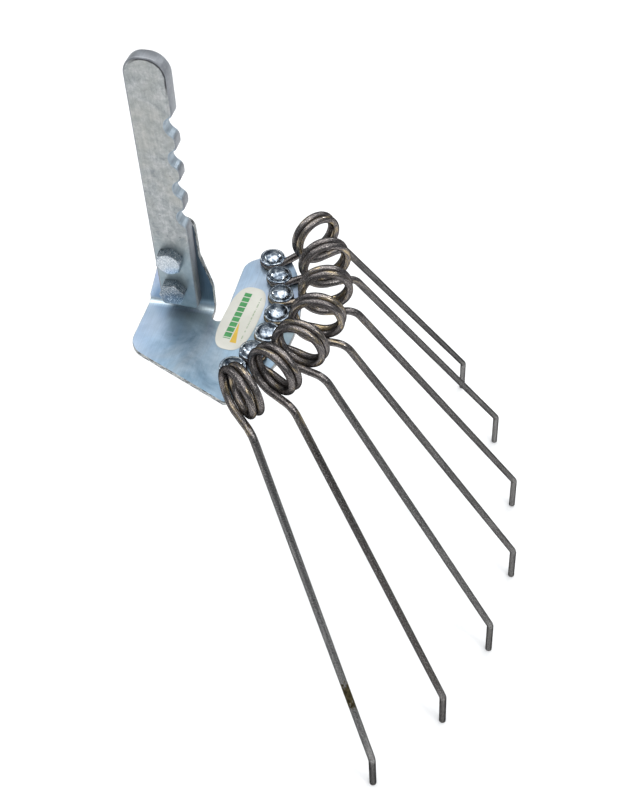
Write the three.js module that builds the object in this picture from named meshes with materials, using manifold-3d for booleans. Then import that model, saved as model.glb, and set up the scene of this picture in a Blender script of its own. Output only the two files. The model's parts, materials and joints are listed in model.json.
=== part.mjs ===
// Spring-tine rake head for a wheel hoe: a bent fan plate carries seven coil-spring tines on
// cup-head bolts, and a notched shank bar is bolted to the plate's upturned tab.
//
// Millimetres, +Z up. Inside the model group the tines fan out symmetrically about +Y, the plate's
// top face is z = 0 and the arc of tine bolts is centred on x = y = 0. The group is shifted so that
// the origin lies on the outer face of the shank bar, where the tool holder clamps it.

import * as THREE from 'three';
import { mergeVertices } from 'three/addons/utils/BufferGeometryUtils.js';
import Module from 'manifold-3d';

const wasm = await Module();
wasm.setup();

// ---- driving dimensions -------------------------------------------------------------------------

const GAP = 0.3; // clearance kept between pieces that touch
const HOLE_PLAY = 0.6; // radial clearance of a bolt in its hole
const OVERSHOOT = 1; // how far a tool solid passes the face it cuts or joins

const WIRE = { radius: 3, sides: 12 };
const TINE = {
  count: 7,
  fanStep: 15, // degrees between neighbouring tines
  boltStep: 11.32, // degrees between neighbouring bolts on their arc
  boltArc: 109.4, // radius of the arc of bolts
  eyeRadius: 7.55, // of the wire's centreline round the bolt
  eyeStart: 78, // degrees; where the eye's free end stops, short of the wire that leaves it
  kink: 24, // distance from the bolt to the slight bend that lines the wire up with the coil
  reach: 34.8, // bolt axis to coil axis
  coilRadius: 18.5,
  coilPitch: 6.3,
  coilTurns: 2,
  coilOffset: 5.25, // sideways from the bolt axis to the first turn
  seam: 1.5, // coil axis to where the coil's solid ends and the leg's begins
  run: 23.2, // coil axis to the first bend
  legPitch: 56, // degrees below horizontal
  legLength: 302,
  legBend: 14, // centreline radius
  tipPitch: 83.3, // degrees below horizontal
  tipLength: 44,
  tipBend: 10, // centreline radius
};
const WIRE_HEIGHT = GAP + WIRE.radius; // wire centre above the plate where it lies on it

const PLATE = {
  thickness: 4,
  bendRadius: 4.5, // inside radius of the upturned tab's bend
  rearY: 5.7,
  rearCorner: { x: 52.3, radius: 18 },
  frontArc: { x: 3, radius: 126.5 }, // the front edge, centred on y = 0
  rightCorner: { x: 90, radius: 3, toArc: 4 }, // toArc: along x, where the front arc takes over
  leftCorner: { x: -79.4, y: 96, radius: 14, toArc: 13 },
  armCorner: { x: -57.5, radius: 16 },
  armY: 68.3, // rear edge of the arm that passes in front of the tab
  relief: { y: 59, depth: 12 }, // rounded relief slot between the bend and the arm
};
const TAB = {
  face: -GAP,
  corners: [[59, 24], [50.8, 54], [49.9, 88], [21.5, 88], [20.5, 52]], // y, z from front to rear
  cornerRadius: 8,
};

const SHANK = {
  thickness: 10,
  y: [19.9, 48.9],
  bottom: 8,
  top: 220.4,
  topRadius: 13,
  footRadius: 3,
  notchRadius: 7,
  notchSetback: 0.7, // notch centre outside the bar's edge
  notchLip: 6, // rounding between a notch and the edge
  notches: [97.5, 122.5, 147.5, 172.5],
};
const MOUNT_HEIGHT = 190; // the clamping datum, just above the topmost notch

const SHANK_BOLT = {
  places: {
    lower: { y: 31.8, z: 26.4, spin: 10 }, // spin: degrees the hexagon is turned about the bolt
    upper: { y: 32.8, z: 57.9, spin: 20 },
  },
  radius: 6,
  acrossFlats: 18,
  head: 7.5,
  length: 35,
  washer: { radius: 12, thickness: 2.5 },
  nut: 12,
};
const TINE_BOLT = {
  radius: 4,
  rimRadius: 10,
  rimHeight: 1.3,
  domeRadius: 9.1,
  domeHeight: 3.7,
  neckRadius: 4.25, // collar that centres the tine's eye
  neckLength: 4.5,
  length: 25,
  washer: { radius: 8, thickness: 1.6 },
  acrossFlats: 13,
  nut: 8,
};
const LABEL = { length: 70, width: 28, thickness: 0.25, x: 4.8, y: 81.4, tilt: -4.8, blunt: 2.9 };

const COLOURS = {
  zinc: { color: 0xb4c3d0, roughness: 0.35, metalness: 0.9 },
  galvanised: { color: 0xa9adab, roughness: 0.6, metalness: 0.7 },
  spring: { color: 0x57524b, roughness: 0.45, metalness: 0.85 },
  hardware: { color: 0xc9d2d8, roughness: 0.2, metalness: 1 },
  label: { color: 0xf2f3ec, roughness: 0.5, metalness: 0 },
};

// ---- helpers ------------------------------------------------------------------------------------

const rad = THREE.MathUtils.degToRad;
const point = (x, y, z) => new THREE.Vector3(x, y, z);

function solid(geometry) {
  const bare = geometry.clone();
  bare.deleteAttribute('normal');
  bare.deleteAttribute('uv');
  const merged = mergeVertices(bare, 1e-4);
  return new wasm.Manifold(
    new wasm.Mesh({
      numProp: 3,
      vertProperties: new Float32Array(merged.attributes.position.array),
      triVerts: new Uint32Array(merged.index.array),
    }),
  );
}

function fromSolid(body) {
  const { vertProperties, triVerts } = body.getMesh();
  const geometry = new THREE.BufferGeometry();
  geometry.setAttribute('position', new THREE.BufferAttribute(vertProperties, 3));
  geometry.setIndex(new THREE.BufferAttribute(triVerts, 1));
  geometry.computeVertexNormals();
  return geometry;
}

const extrude = (shape, depth, curveSegments = 6) =>
  new THREE.ExtrudeGeometry(shape, { depth, curveSegments, bevelEnabled: false });

// A cylinder along Z between two heights.
function rod(radius, low, high, segments = 12) {
  const geometry = new THREE.CylinderGeometry(radius, radius, high - low, segments);
  return geometry.rotateX(Math.PI / 2).translate(0, 0, (low + high) / 2);
}

const hexRadius = (acrossFlats) => acrossFlats / 2 / Math.cos(Math.PI / 6);

// A washer or a nut along Z: a bored disc, six-sided for a nut.
function bored(outer, inner, low, high, segments) {
  const shape = new THREE.Shape();
  for (let i = 0; i < segments; i++) {
    const turn = (2 * Math.PI * i) / segments;
    const go = i ? 'lineTo' : 'moveTo';
    shape[go](outer * Math.cos(turn), outer * Math.sin(turn));
  }
  shape.holes.push(new THREE.Path().absarc(0, 0, inner, 0, 2 * Math.PI, true));
  return extrude(shape, high - low, 6).translate(0, 0, low);
}

// Adds a rounded corner at (x, y) to an outline that goes on towards (nextX, nextY).
function roundCorner(shape, x, y, nextX, nextY, radius) {
  const from = shape.currentPoint;
  const corner = new THREE.Vector2(x, y);
  const back = new THREE.Vector2(from.x - x, from.y - y).normalize();
  const on = new THREE.Vector2(nextX - x, nextY - y).normalize();
  const half = back.angleTo(on) / 2;
  const start = corner.clone().addScaledVector(back, radius / Math.tan(half));
  const middle = corner.clone().addScaledVector(back.clone().add(on).normalize(), radius / Math.sin(half));
  const end = corner.clone().addScaledVector(on, radius / Math.tan(half));
  const a0 = Math.atan2(start.y - middle.y, start.x - middle.x);
  const a1 = Math.atan2(end.y - middle.y, end.x - middle.x);
  shape.lineTo(start.x, start.y);
  shape.absarc(middle.x, middle.y, radius, a0, a1, back.cross(on) > 0);
}

// ---- wire: a many-sided bar swept along a list of stations ----------------------------------------

class Stations extends THREE.Curve {
  constructor(points) {
    super();
    this.points = points;
  }

  getPoint(t, target = point(0, 0, 0)) {
    return target.copy(this.points[Math.round(t * (this.points.length - 1))]);
  }

  getPointAt(u, target) {
    return this.getPoint(u, target);
  }

  getTangentAt(u, target = point(0, 0, 0)) {
    const last = this.points.length - 1;
    const i = Math.round(u * last);
    const before = i > 0 ? this.points[i].clone().sub(this.points[i - 1]).normalize() : point(0, 0, 0);
    const after = i < last ? this.points[i + 1].clone().sub(this.points[i]).normalize() : point(0, 0, 0);
    return target.copy(before).add(after).normalize();
  }
}

function wire(points) {
  const section = new THREE.Shape();
  const corner = WIRE.radius / Math.cos(Math.PI / WIRE.sides);
  for (let i = 0; i < WIRE.sides; i++) {
    const turn = (2 * Math.PI * (i + 0.5)) / WIRE.sides;
    section[i ? 'lineTo' : 'moveTo'](corner * Math.cos(turn), corner * Math.sin(turn));
  }
  return new THREE.ExtrudeGeometry(section, {
    steps: points.length - 1,
    extrudePath: new Stations(points),
  });
}

// Stations round a bend in the wire's own upright plane x = const.
function bend(x, y, z, pitchIn, pitchOut, radius, steps) {
  const half = rad(pitchOut - pitchIn) / 2;
  const startY = y - radius * Math.tan(half) * Math.cos(rad(pitchIn));
  const startZ = z + radius * Math.tan(half) * Math.sin(rad(pitchIn));
  const centreY = startY - radius * Math.sin(rad(pitchIn));
  const centreZ = startZ - radius * Math.cos(rad(pitchIn));
  return Array.from({ length: steps + 1 }, (_, i) => {
    const pitch = rad(pitchIn + ((pitchOut - pitchIn) * i) / steps);
    return point(x, centreY + radius * Math.sin(pitch), centreZ + radius * Math.cos(pitch));
  });
}

// ---- tine, in its own frame: +Y outward from the bolt, +X sideways, the plate's top at z = 0 ------

const LEG_X = TINE.coilOffset + TINE.coilPitch * TINE.coilTurns;

function tineCoil() {
  const points = [];
  const slope = TINE.coilPitch / (2 * Math.PI * TINE.coilRadius);
  const kinkX = TINE.coilOffset - (TINE.reach - TINE.kink) * slope;
  const lean = Math.asin(TINE.eyeRadius / Math.hypot(kinkX, TINE.kink)) - Math.atan2(kinkX, TINE.kink);
  const eyeSteps = 12;
  for (let i = 0; i <= eyeSteps; i++) {
    const turn = THREE.MathUtils.lerp(rad(TINE.eyeStart), 2 * Math.PI + lean, i / eyeSteps);
    points.push(point(TINE.eyeRadius * Math.cos(turn), TINE.eyeRadius * Math.sin(turn), WIRE_HEIGHT));
  }
  points.push(point(kinkX, TINE.kink, WIRE_HEIGHT));
  const coilSteps = 16 * TINE.coilTurns;
  for (let i = 0; i <= coilSteps; i++) {
    const turn = (2 * Math.PI * TINE.coilTurns * i) / coilSteps;
    points.push(
      point(
        TINE.coilOffset + (TINE.coilPitch * turn) / (2 * Math.PI),
        TINE.reach + TINE.coilRadius * Math.sin(turn),
        WIRE_HEIGHT + TINE.coilRadius * (1 - Math.cos(turn)),
      ),
    );
  }
  points.push(point(LEG_X, TINE.reach + TINE.seam, WIRE_HEIGHT));
  return wire(points);
}

function tineLeg() {
  const pitch = rad(TINE.legPitch);
  const tip = rad(TINE.tipPitch);
  const bendY = TINE.reach + TINE.run;
  const kneeY = bendY + TINE.legLength * Math.cos(pitch);
  const kneeZ = WIRE_HEIGHT - TINE.legLength * Math.sin(pitch);
  return wire([
    point(LEG_X, TINE.reach + TINE.seam + GAP, WIRE_HEIGHT),
    ...bend(LEG_X, bendY, WIRE_HEIGHT, 0, TINE.legPitch, TINE.legBend, 5),
    ...bend(LEG_X, kneeY, kneeZ, TINE.legPitch, TINE.tipPitch, TINE.tipBend, 3),
    point(LEG_X, kneeY + TINE.tipLength * Math.cos(tip), kneeZ - TINE.tipLength * Math.sin(tip)),
  ]);
}

// ---- cup-head bolt, washer and locknut of one tine ------------------------------------------------

const RIM_BOTTOM = WIRE_HEIGHT + WIRE.radius + GAP;

function tineBolt() {
  const rimTop = RIM_BOTTOM + TINE_BOLT.rimHeight;
  const low = RIM_BOTTOM - TINE_BOLT.length;
  const chamfer = 0.8;
  const dome = [0.35, 0.7, 1].map((share) => {
    const turn = (share * Math.PI) / 2;
    return [TINE_BOLT.domeRadius * Math.cos(turn), rimTop + TINE_BOLT.domeHeight * Math.sin(turn)];
  });
  dome[dome.length - 1][0] = 0;
  const profile = [
    [0, low],
    [TINE_BOLT.radius - chamfer, low],
    [TINE_BOLT.radius, low + chamfer],
    [TINE_BOLT.radius, RIM_BOTTOM - TINE_BOLT.neckLength],
    [TINE_BOLT.neckRadius, RIM_BOTTOM - TINE_BOLT.neckLength],
    [TINE_BOLT.neckRadius, RIM_BOTTOM],
    [TINE_BOLT.rimRadius, RIM_BOTTOM],
    [TINE_BOLT.rimRadius, rimTop],
    [TINE_BOLT.domeRadius, rimTop],
    ...dome,
  ];
  const turned = new THREE.LatheGeometry(profile.map(([r, z]) => new THREE.Vector2(r, z)), 16);
  return turned.rotateX(Math.PI / 2);
}

function tineWasher() {
  const top = -PLATE.thickness - GAP;
  const { radius, thickness } = TINE_BOLT.washer;
  return bored(radius, TINE_BOLT.radius + GAP, top - thickness, top, 20);
}

function tineNut() {
  const top = -PLATE.thickness - TINE_BOLT.washer.thickness - 2 * GAP;
  return bored(hexRadius(TINE_BOLT.acrossFlats), TINE_BOLT.radius + GAP, top - TINE_BOLT.nut, top, 6);
}

// ---- plate ----------------------------------------------------------------------------------------

function plateOutline() {
  const { frontArc, rearCorner, rightCorner, leftCorner, armCorner, relief } = PLATE;
  const onArc = (x) => Math.sqrt(frontArc.radius ** 2 - (x - frontArc.x) ** 2);
  const rightY = onArc(rightCorner.x);
  const shape = new THREE.Shape();
  shape.moveTo(PLATE.bendRadius + TAB.face, PLATE.rearY);
  roundCorner(shape, rearCorner.x, PLATE.rearY, rightCorner.x, rightY, rearCorner.radius);
  const arcFrom = rightCorner.x - rightCorner.toArc;
  const arcTo = leftCorner.x + leftCorner.toArc;
  roundCorner(shape, rightCorner.x, rightY, arcFrom, onArc(arcFrom), rightCorner.radius);
  const steps = 16;
  for (let i = 0; i <= steps; i++) {
    const x = THREE.MathUtils.lerp(arcFrom, arcTo, i / steps);
    shape.lineTo(x, onArc(x));
  }
  roundCorner(shape, leftCorner.x, leftCorner.y, armCorner.x, PLATE.armY, leftCorner.radius);
  roundCorner(shape, armCorner.x, PLATE.armY, 0, PLATE.armY, armCorner.radius);
  const slot = (PLATE.armY - relief.y) / 2;
  shape.lineTo(relief.depth - slot, PLATE.armY);
  shape.absarc(relief.depth - slot, PLATE.armY - slot, slot, Math.PI / 2, -Math.PI / 2, true);
  shape.lineTo(PLATE.bendRadius + TAB.face, relief.y);
  return shape;
}

function boltPlaces() {
  const middle = (TINE.count + 1) / 2;
  return Array.from({ length: TINE.count }, (_, i) => {
    const steps = middle - (i + 1);
    const turn = rad(steps * TINE.boltStep);
    return {
      x: -TINE.boltArc * Math.sin(turn),
      y: TINE.boltArc * Math.cos(turn),
      heading: rad(steps * TINE.fanStep),
    };
  });
}

// The bend and the upright tab as one strip, seen along -Y, before its sides are cut.
function tabStrip() {
  const outer = TAB.face - PLATE.thickness;
  const top = Math.max(...TAB.corners.map(([, z]) => z));
  const r = PLATE.bendRadius;
  const shape = new THREE.Shape();
  shape.moveTo(TAB.face + r + OVERSHOOT, 0);
  shape.lineTo(TAB.face + r, 0);
  shape.absarc(TAB.face + r, r, r, -Math.PI / 2, Math.PI, true);
  shape.lineTo(TAB.face, top);
  shape.lineTo(outer, top);
  shape.lineTo(outer, r);
  shape.absarc(TAB.face + r, r, r + PLATE.thickness, Math.PI, -Math.PI / 2, false);
  shape.lineTo(TAB.face + r + OVERSHOOT, -PLATE.thickness);
  const width = PLATE.relief.y - PLATE.rearY;
  return extrude(shape, width, 6).rotateX(Math.PI / 2).translate(0, PLATE.relief.y, 0);
}

// The tab's side view, as a prism that runs along X.
function tabOutline() {
  const foot = -PLATE.thickness - OVERSHOOT;
  const reach = PLATE.thickness + PLATE.bendRadius + OVERSHOOT;
  const rearFoot = [PLATE.rearY, PLATE.bendRadius];
  const shape = new THREE.Shape();
  shape.moveTo(PLATE.rearY, foot);
  shape.lineTo(PLATE.relief.y, foot);
  TAB.corners.forEach((corner, i) => {
    roundCorner(shape, ...corner, ...(TAB.corners[i + 1] ?? rearFoot), TAB.cornerRadius);
  });
  shape.lineTo(...rearFoot);
  return alongX(extrude(shape, 2 * reach, 5)).translate(-reach, 0, 0);
}

// Turns an outline drawn in (y, z) and extruded along Z so that it runs along X.
function alongX(geometry) {
  return geometry.applyMatrix4(new THREE.Matrix4().set(0, 0, 1, 0, 1, 0, 0, 0, 0, 1, 0, 0, 0, 0, 0, 1));
}

function basePlate() {
  const flat = extrude(plateOutline(), PLATE.thickness, 8).translate(0, 0, -PLATE.thickness);
  let body = solid(flat).add(solid(tabStrip()).intersect(solid(tabOutline())));
  for (const { x, y } of boltPlaces()) {
    const hole = rod(TINE_BOLT.radius + HOLE_PLAY, -PLATE.thickness - OVERSHOOT, OVERSHOOT);
    body = body.subtract(solid(hole.translate(x, y, 0)));
  }
  for (const { y, z } of Object.values(SHANK_BOLT.places)) {
    const back = TAB.face - PLATE.thickness - OVERSHOOT;
    const hole = rod(SHANK_BOLT.radius + HOLE_PLAY, back, TAB.face + OVERSHOOT).rotateY(Math.PI / 2);
    body = body.subtract(solid(hole.translate(0, y, z)));
  }
  return fromSolid(body);
}

function label() {
  const shape = new THREE.Shape();
  const steps = 28;
  for (let i = 0; i < steps; i++) {
    const turn = (2 * Math.PI * i) / steps;
    const u = Math.sign(Math.cos(turn)) * Math.abs(Math.cos(turn)) ** (2 / LABEL.blunt);
    const v = Math.sign(Math.sin(turn)) * Math.abs(Math.sin(turn)) ** (2 / LABEL.blunt);
    shape[i ? 'lineTo' : 'moveTo']((LABEL.length / 2) * u, (LABEL.width / 2) * v);
  }
  return extrude(shape, LABEL.thickness);
}

// ---- shank bar and its two bolts ------------------------------------------------------------------

function shankBar() {
  const [rear, front] = SHANK.y;
  const { notchRadius, notchSetback, notchLip, footRadius, topRadius } = SHANK;
  const rise = Math.sqrt((notchRadius + notchLip) ** 2 - (notchSetback + notchLip) ** 2);
  const meet = Math.atan2(rise, notchSetback + notchLip);
  const shape = new THREE.Shape();
  shape.moveTo(rear + footRadius, SHANK.bottom);
  shape.lineTo(front - footRadius, SHANK.bottom);
  shape.absarc(front - footRadius, SHANK.bottom + footRadius, footRadius, -Math.PI / 2, 0, false);
  for (const z of SHANK.notches) {
    shape.absarc(front - notchLip, z - rise, notchLip, 0, meet, false);
    shape.absarc(front + notchSetback, z, notchRadius, meet - Math.PI, Math.PI - meet, true);
    shape.absarc(front - notchLip, z + rise, notchLip, -meet, 0, false);
  }
  shape.absarc(front - topRadius, SHANK.top - topRadius, topRadius, 0, Math.PI / 2, false);
  shape.absarc(rear + topRadius, SHANK.top - topRadius, topRadius, Math.PI / 2, Math.PI, false);
  shape.absarc(rear + footRadius, SHANK.bottom + footRadius, footRadius, Math.PI, 1.5 * Math.PI, false);
  for (const { y, z } of Object.values(SHANK_BOLT.places)) {
    shape.holes.push(new THREE.Path().absarc(y, z, SHANK_BOLT.radius + HOLE_PLAY, 0, 2 * Math.PI, true));
  }
  return alongX(extrude(shape, SHANK.thickness, 6));
}

// Bolt, washer and nut lie along X; the head is on the bar's outer face.
function shankBolt() {
  const seat = SHANK.thickness + GAP;
  const head = new THREE.CylinderGeometry(
    hexRadius(SHANK_BOLT.acrossFlats), hexRadius(SHANK_BOLT.acrossFlats), SHANK_BOLT.head, 6,
  );
  head.rotateX(Math.PI / 2).translate(0, 0, seat + SHANK_BOLT.head / 2);
  const shank = rod(SHANK_BOLT.radius, seat - SHANK_BOLT.length, seat + OVERSHOOT, 16);
  return fromSolid(solid(head).add(solid(shank))).rotateY(Math.PI / 2);
}

function shankWasher() {
  const top = TAB.face - PLATE.thickness - GAP;
  const { radius, thickness } = SHANK_BOLT.washer;
  return bored(radius, SHANK_BOLT.radius + GAP, top - thickness, top, 24).rotateY(Math.PI / 2);
}

function shankNut() {
  const top = TAB.face - PLATE.thickness - SHANK_BOLT.washer.thickness - 2 * GAP;
  const outer = hexRadius(SHANK_BOLT.acrossFlats);
  return bored(outer, SHANK_BOLT.radius + GAP, top - SHANK_BOLT.nut, top, 6).rotateY(Math.PI / 2);
}

// ---- assembly -------------------------------------------------------------------------------------

const group = new THREE.Group();
const model = new THREE.Group();
model.position.set(-SHANK.thickness, -(SHANK.y[0] + SHANK.y[1]) / 2, -MOUNT_HEIGHT);
group.add(model);

function add(parent, name, geometry, finish) {
  const mesh = new THREE.Mesh(geometry, new THREE.MeshStandardMaterial(COLOURS[finish]));
  mesh.name = name;
  parent.add(mesh);
  return mesh;
}

add(model, 'base_plate', basePlate(), 'zinc');
add(model, 'shank_bar', shankBar(), 'galvanised');

const sticker = add(model, 'label', label(), 'label');
sticker.position.set(LABEL.x, LABEL.y, GAP);
sticker.rotation.z = rad(LABEL.tilt);

for (const [place, { y, z, spin }] of Object.entries(SHANK_BOLT.places)) {
  const joint = new THREE.Group();
  joint.position.set(0, y, z);
  joint.rotation.x = rad(spin);
  model.add(joint);
  add(joint, `shank_bolt_${place}`, shankBolt(), 'hardware');
  add(joint, `shank_washer_${place}`, shankWasher(), 'hardware');
  add(joint, `shank_nut_${place}`, shankNut(), 'hardware');
}

const shapes = {
  coil: [tineCoil(), 'spring'],
  leg: [tineLeg(), 'spring'],
  bolt: [tineBolt(), 'hardware'],
  washer: [tineWasher(), 'hardware'],
  nut: [tineNut(), 'hardware'],
};
boltPlaces().forEach(({ x, y, heading }, i) => {
  const station = new THREE.Group();
  station.position.set(x, y, 0);
  station.rotation.z = heading;
  model.add(station);
  for (const [piece, [geometry, finish]] of Object.entries(shapes)) {
    add(station, `tine_${i + 1}_${piece}`, geometry, finish);
  }
});

export default group;
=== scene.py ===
"""Looks of the spring-tine rake head: a bent zinc plate carries seven coil-spring tines, and a notched
shank bar is bolted to its upturned tab.

Shapes are drawn in millimetres in the fan frame, where the plate's top is z = 0, the arc of tine bolts is
centred on x = y = 0 and the tines fan out about +Y. row() turns them into metres in the row frame.
"""
import json
import math

import bpy
from mathutils import Matrix, Vector
from mathutils.geometry import delaunay_2d_cdt


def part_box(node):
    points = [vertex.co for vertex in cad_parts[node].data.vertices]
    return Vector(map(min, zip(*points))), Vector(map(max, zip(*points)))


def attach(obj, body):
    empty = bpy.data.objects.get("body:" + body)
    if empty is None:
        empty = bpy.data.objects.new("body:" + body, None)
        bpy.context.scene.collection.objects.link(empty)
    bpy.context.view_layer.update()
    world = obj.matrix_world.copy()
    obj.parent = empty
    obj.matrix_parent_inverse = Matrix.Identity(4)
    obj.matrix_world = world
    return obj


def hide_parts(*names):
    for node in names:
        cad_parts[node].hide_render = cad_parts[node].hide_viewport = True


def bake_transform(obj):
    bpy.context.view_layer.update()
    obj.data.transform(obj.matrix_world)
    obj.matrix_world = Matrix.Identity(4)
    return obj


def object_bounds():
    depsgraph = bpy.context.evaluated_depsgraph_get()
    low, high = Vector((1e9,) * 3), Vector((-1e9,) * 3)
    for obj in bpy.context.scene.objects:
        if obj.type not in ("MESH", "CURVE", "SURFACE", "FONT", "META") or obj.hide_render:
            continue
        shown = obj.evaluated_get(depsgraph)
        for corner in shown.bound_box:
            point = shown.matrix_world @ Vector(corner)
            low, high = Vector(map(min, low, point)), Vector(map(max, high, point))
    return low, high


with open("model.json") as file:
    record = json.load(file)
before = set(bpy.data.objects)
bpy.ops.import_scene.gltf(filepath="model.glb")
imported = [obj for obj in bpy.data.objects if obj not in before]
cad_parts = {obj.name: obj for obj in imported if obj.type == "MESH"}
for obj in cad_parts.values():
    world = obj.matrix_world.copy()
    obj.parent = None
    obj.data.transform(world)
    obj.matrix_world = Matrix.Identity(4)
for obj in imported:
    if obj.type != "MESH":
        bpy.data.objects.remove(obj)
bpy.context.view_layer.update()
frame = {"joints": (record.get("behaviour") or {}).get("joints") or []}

# ---- dimensions, in millimetres and degrees ----

MM = 0.001
CONTACT = 0.02  # gap left where two pieces touch, so that their faces don't coincide
CAD_GAP = 0.3  # the CAD model's own gap

WIRE_RADIUS = 3
WIRE_HEIGHT = CAD_GAP + WIRE_RADIUS  # wire centre above the plate
EYE = {"radius": 7.55, "start": 78, "kink": 24, "kink_reach": 5}
COIL = {"reach": 34.8, "radius": 18.5, "pitch": 6.3, "turns": 2, "offset": 5.25}
LEG = {"run": 23.2, "pitch": 56, "length": 302, "bend": 14}
TIP = {"pitch": 83.3, "length": 44, "bend": 10}
BOLT_ARC = 109.4
BOLT_STEP = 11.32
FAN_STEP = 15

PLATE = {"thickness": 4, "bend_radius": 4.5, "edge": 0.35, "rear": 5.7}
TAB = {"face": -0.3, "corners": ((59, 24), (50.8, 54), (49.9, 88), (21.5, 88), (20.5, 52)), "radius": 8}
RELIEF = {"y": 59, "depth": 12}
BEND_START = PLATE["bend_radius"] + TAB["face"]
BEND_LENGTH = math.radians(90) * (PLATE["bend_radius"] + PLATE["thickness"] / 2)
ARM_Y = 68.3
REAR_CORNER = {"x": 52.3, "radius": 18}
FRONT_ARC = {"x": 3, "radius": 126.5}
RIGHT_CORNER = {"x": 90, "radius": 3, "to_arc": 4}
LEFT_CORNER = {"x": -79.4, "y": 96, "radius": 14, "to_arc": 13}
ARM_CORNER = {"x": -57.5, "radius": 16}
SUPPORT = 1  # width of the strip beside the bend that keeps the flat faces flat
HOLE_PLAY = 0.6
WASHER_PLAY = 0.3

BAR = {"thickness": 10, "y": (19.9, 48.9), "bottom": 8, "top": 220.4, "top_radius": 13, "foot_radius": 3,
       "edge": 1.1}
NOTCH = {"radius": 7, "setback": 0.7, "lip": 6, "heights": (97.5, 122.5, 147.5, 172.5)}

HEX_PLACES = {"lower": (31.8, 26.4, 10), "upper": (32.8, 57.9, 20)}  # y, z and the hexagon's spin
HEX_BOLT = {"radius": 6, "pitch": 1.75, "across": 18, "head": 7.5, "length": 35, "thread": 20, "runout": 0.6,
            "collar": (8.37, 8.55, 0.4), "washer": (12, 2.5), "nut": 12, "nut_body": 9.6}
CUP_BOLT = {"radius": 4, "pitch": 1.25, "rim": 10, "rim_height": 1.3, "ledge": 1.5, "dome": 3.7,
            "fullness": 0.9, "length": 25, "thread": 12, "runout": 0.5, "neck": (4.25, 4.5),
            "washer": (8, 1.6), "across": 13, "nut": 8, "nut_body": 6.3}
RIM_BOTTOM = WIRE_HEIGHT + WIRE_RADIUS + CAD_GAP
THREAD_DEPTH = 0.61  # as a share of the pitch
HEX_CUT = 0.96  # width of a chamfered hexagon's end, as a share of its width across flats
NUT_COLLAR = 0.44  # radius of the round end of a locknut, as a share of its width across flats
HEX_SHADES = {"upper": 0.0, "lower": 0.7, "side": 0.6}  # painted shade: how much darker each bolt's face and both bolts' sides are drawn
LABEL = {"length": 70, "width": 28, "thickness": 0.25, "edge": 0.08, "x": 4.8, "y": 81.4, "tilt": -4.8,
         "blunt": 2.9}

# How finely the round shapes are drawn, and the turn above which a fastener's edge stays sharp.
HEX_SEGMENTS = 72
ROUND_SEGMENTS = 48
THREAD_ROWS = 8  # to a pitch
COIL_STEPS = 52  # to a turn
WIRE_SIDES = 20
HOLE_STEP = 15
SHARP_TURN = 32
SHARP_TURN_CUP = 40

# ---- marks in the materials, in metres ----

# A pair of places is a fade, with nothing at the first and all at the second. Two fades make a window.
SHEET_ACROSS = {  # across the flat sheet, from where the bend starts
    # the chromate's tint with painted shade along the foot of the bend
    "beside_bend": ((0.0, 0.003), (0.026, 0.006)),
    "bend": ((-0.018, -0.010), (0.010, 0.0)),
    # painted highlight on the tab's bend
    "crease": ((-0.0095, -0.0055), (0.003, -0.001)),
    # painted shade on the tab beside the bar
    "shade_behind_bar": (-0.012, -0.016),
    # painted light on the plate's arm
    "arm": (0.010, -0.010),
}
SHEET_SIDEWAYS = {
    "folded": (RELIEF["y"] * MM + 0.004, RELIEF["y"] * MM),
    # painted light towards the sheet's rear edge
    "lit_outer_side": (0.042, 0.008),
    "shade_behind_bar": (0.046, 0.050),
}
TOP_EDGE_SHADOW = {  # painted shadow: a dark line under the rolled edge of the bar's round top, in the row frame
    "z": 0.0174, "flatten": 0.805, "wobble": 0.0015, "edge": (0.0107, 0.0113),
    "z_fade": (0.004, 0.012), "y_fade": (-0.0115, -0.004),
}
NEAR_BOLTS = (-0.100, -0.123)  # z on the bar, in the row frame
NOTCH_LIGHT = {"y": ((0.004, 0.006), (0.0138, 0.0126)), "z": (0.0, -0.005)}  # painted light: paler blue inside the notches
LEG_START = (0.315, 0.365)  # along the wire from its eye
PALE_TIP = (0.612, 0.630)
RUST = {"tine": 7, "along": ((0.536, 0.558), (0.586, 0.564))}
LEG_STAIN = {1: 0.3, 2: 0.35, 3: 0.55, 4: 0.45, 5: 0.35, 6: 0.95, 7: 0}  # how brown each leg is, not a length
STICKER = {  # low and high ends, along the label and across it
    "stripe": ((-0.0275, 0.024), (-0.0062, -0.0004)),
    "wedge": ((0.004, 0.027), (0.0004, 0.0056)),
    "rule": ((-0.026, 0.024), (0.0076, 0.0086)),
    "block": 0.0057,  # length of one block of the stripe with its gap
    "gap": (0.0003, 0.0006),
    "soft": 0.00015,  # half the width of a printed edge's fade
}

# ---- the fan frame ----

bar_low, bar_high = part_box("shank_bar")
middle_low, middle_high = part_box("tine_4_bolt")
FAN = Vector((
    bar_low.x,
    (middle_low.y + middle_high.y) / 2 - BOLT_ARC * MM,
    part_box("label")[0].z - CAD_GAP * MM,
))


def row(x, y, z):
    """A point of the fan frame, in metres in the row frame."""
    return FAN + Vector((x, y, z)) * MM


FAN_FRAME = Matrix.Translation(FAN) @ Matrix.Scale(MM, 4)
SIDEWAYS = Matrix(((0, 0, 1, 0), (1, 0, 0, 0), (0, 1, 0, 0), (0, 0, 0, 1)))  # x, y, z become y, z, x

# ---- camera, light and floor ----

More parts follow.
